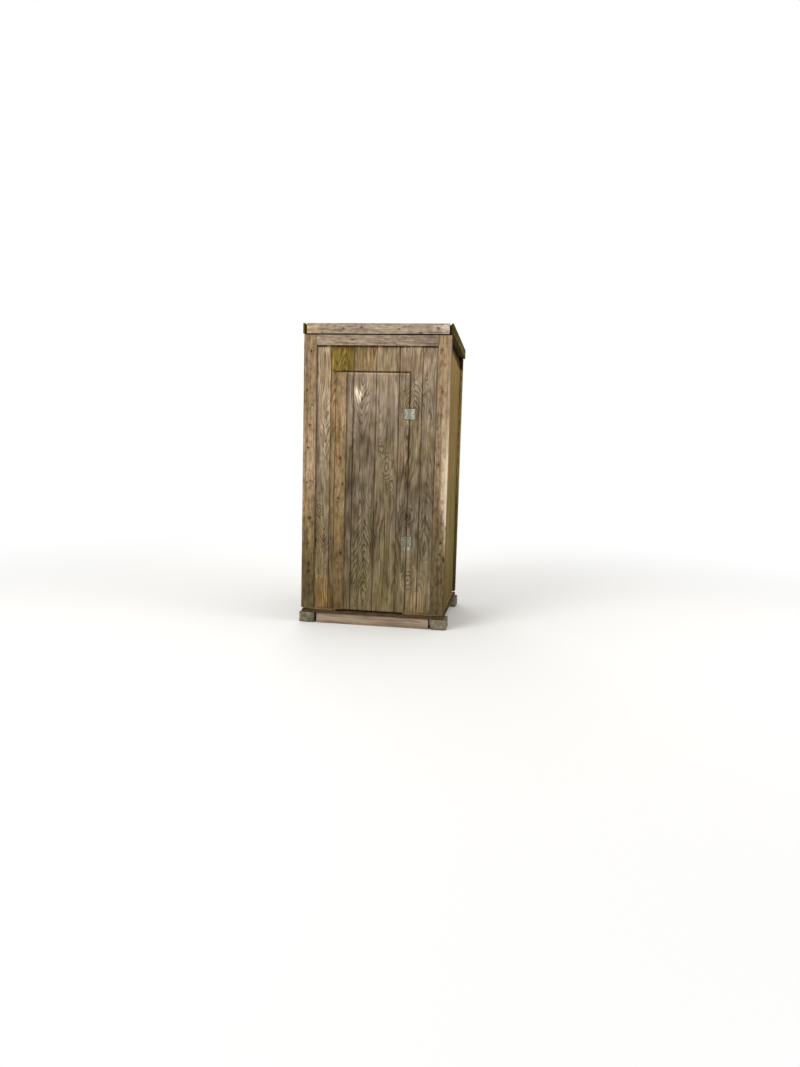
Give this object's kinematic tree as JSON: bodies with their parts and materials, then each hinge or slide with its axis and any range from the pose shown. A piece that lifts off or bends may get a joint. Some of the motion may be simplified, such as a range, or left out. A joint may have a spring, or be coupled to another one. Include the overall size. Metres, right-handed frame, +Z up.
{
  "type": "outhouse",
  "caption": "Small timber outhouse with grooved plywood walls, a plank-trimmed front, one hinged door and a low shed roof that falls to the rear.",
  "frame": {"origin": "ground level, in the middle of the plan", "axes": "+Z up, -Y towards the front with the door, +X to the right seen from the front"},
  "size_m": [1.362, 1.36, 2.677],
  "materials": {
    "stone": "rough grey foundation stone, soiled",
    "sleeper_timber": "rough-sawn timber, dark and weathered",
    "galvanised_steel": "dull galvanised steel",
    "grooved_plywood": "weathered softwood plywood with bold flat-sawn grain and vertical grooves",
    "sheathing": "plain softwood plywood",
    "roofing": "dark mineral roll roofing",
    "latch_timber": "weathered pine board, golden",
    "trim_timber": "weathered pine board, grey-tan with small knots",
    "framing_timber": "planed softwood, dry and slightly aged"
  },
  "bodies": {
    "root": {"foundation_stones": "stone", "sleepers": "sleeper_timber", "floor_deck": "sheathing", "bottom_plates_front": "framing_timber", "bottom_plates_side": "framing_timber", "bottom_plate_rear": "framing_timber", "corner_posts": "framing_timber", "door_studs": "framing_timber", "wall_studs": "framing_timber", "door_header": "framing_timber", "top_plate_front": "framing_timber", "top_plate_rear": "framing_timber", "side_rails": "framing_timber", "rafters": "framing_timber", "roof_deck": "sheathing", "roofing_sheet": "roofing", "wall_front_left": "grooved_plywood", "wall_front_right": "grooved_plywood", "wall_front_over": "grooved_plywood", "wall_left": "grooved_plywood", "wall_right": "grooved_plywood", "wall_rear": "grooved_plywood", "corner_board_front_left": "trim_timber", "corner_board_front_right": "trim_timber", "side_board_front_left": "trim_timber", "side_board_front_right": "trim_timber", "corner_board_rear_left": "trim_timber", "corner_board_rear_right": "trim_timber", "side_board_rear_left": "trim_timber", "side_board_rear_right": "trim_timber", "frieze_board": "trim_timber", "fascia_front": "trim_timber", "fascia_rear": "trim_timber", "rake_board_left": "trim_timber", "rake_board_right": "trim_timber", "door_stop_sides": "framing_timber", "door_stop_top": "framing_timber", "hinge_wall_leaves": "galvanised_steel", "hinge_pins": "galvanised_steel"},
    "door": {"door_panel": "grooved_plywood", "door_latch_board": "latch_timber", "door_stiles": "framing_timber", "door_ledges": "framing_timber", "hinge_door_leaves": "galvanised_steel"}
  },
  "joints": [
    {"name": "door_hinge", "type": "hinge", "parent": "root", "child": "door", "pos_m": [0.299, -0.661, 1.347], "axis": [0, 0, 1], "range_deg": [0, 110]}
  ]
}
